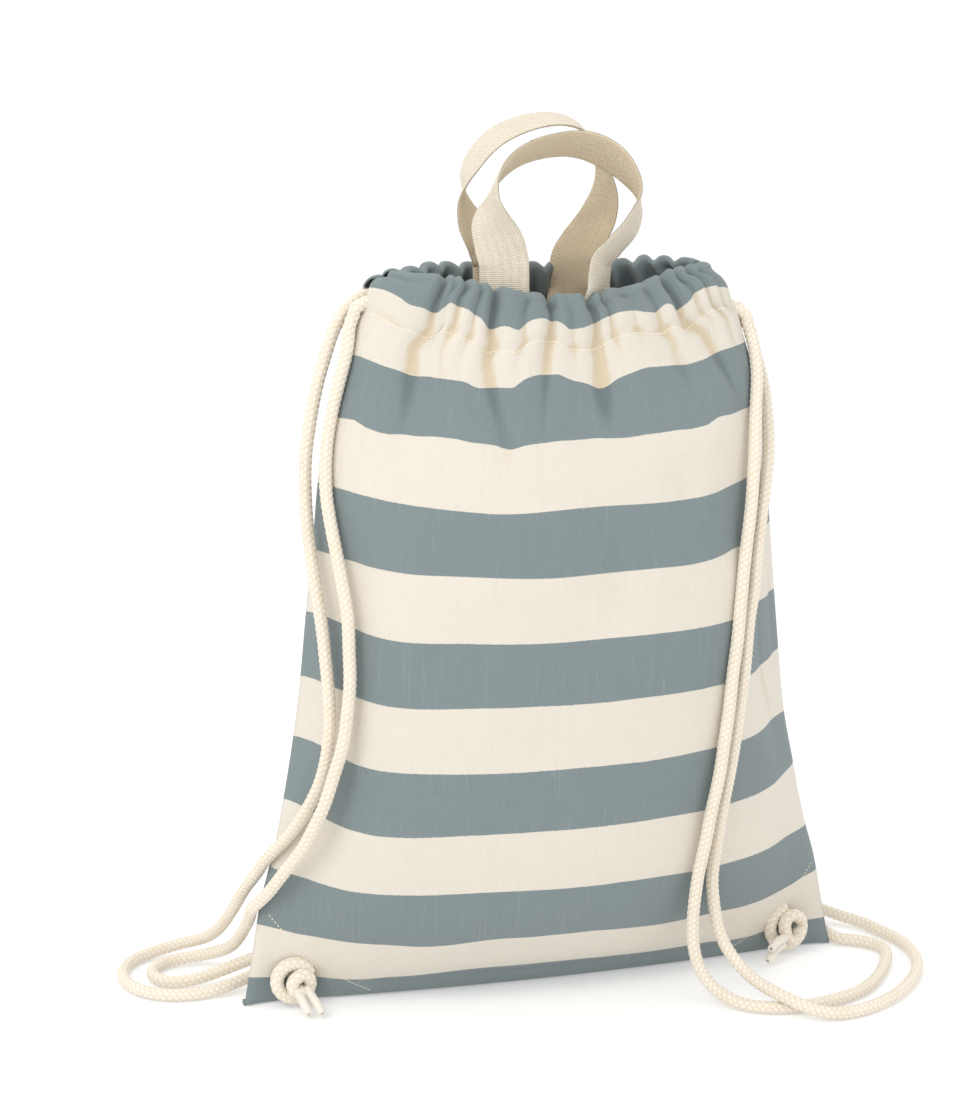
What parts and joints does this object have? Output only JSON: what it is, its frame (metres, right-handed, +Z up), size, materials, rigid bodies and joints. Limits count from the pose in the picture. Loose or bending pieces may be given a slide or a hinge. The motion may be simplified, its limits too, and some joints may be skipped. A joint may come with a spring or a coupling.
{
  "type": "drawstring bag",
  "caption": "Striped cotton drawstring bag, stuffed and standing, with webbing grab handles at the mouth and rope cords through corner eyelets.",
  "frame": {"origin": "middle of the base, on the floor", "axes": "+Z up, +X to the right as the front is seen, front faces -Y"},
  "size_m": [0.4816, 0.2026, 0.5098],
  "materials": {
    "stripe": "striped grey and cream cotton canvas",
    "lining": "plain cream cotton canvas",
    "rope": "braided cotton cord",
    "webbing": "woven cotton webbing",
    "tape": "smooth taped cord ends",
    "eyelet": "plated eyelet"
  },
  "bodies": {
    "bag": {"front_panel": "stripe", "front_hem": "stripe", "front_left_corner_patch": "lining", "front_handle_left_end": "webbing", "left_cord_front_strand": "rope", "left_cord_front_tip": "tape", "front_right_corner_patch": "lining", "front_handle_right_end": "webbing", "right_cord_front_strand": "rope", "right_cord_front_tip": "tape", "back_panel": "stripe", "back_hem": "stripe", "back_left_corner_patch": "lining", "back_handle_left_end": "webbing", "left_cord_back_strand": "rope", "left_cord_back_tip": "tape", "back_right_corner_patch": "lining", "back_handle_right_end": "webbing", "right_cord_back_strand": "rope", "right_cord_back_tip": "tape", "left_eyelet": "eyelet", "left_eyelet_washer": "eyelet", "left_cord_in_hem": "rope", "left_cord_knot": "rope", "right_eyelet": "eyelet", "right_eyelet_washer": "eyelet", "right_cord_in_hem": "rope", "right_cord_knot": "rope"},
    "front_handle": {"front_handle": "webbing"},
    "back_handle": {"back_handle": "webbing"}
  },
  "joints": [
    {"name": "front_handle_swing", "type": "hinge", "parent": "bag", "child": "front_handle", "pos_m": [0, -0.027, 0.424], "axis": [1, 0, 0], "range_deg": [0, 150]},
    {"name": "back_handle_swing", "type": "hinge", "parent": "bag", "child": "back_handle", "pos_m": [0, 0.027, 0.424], "axis": [-1, 0, 0], "range_deg": [0, 150]}
  ]
}
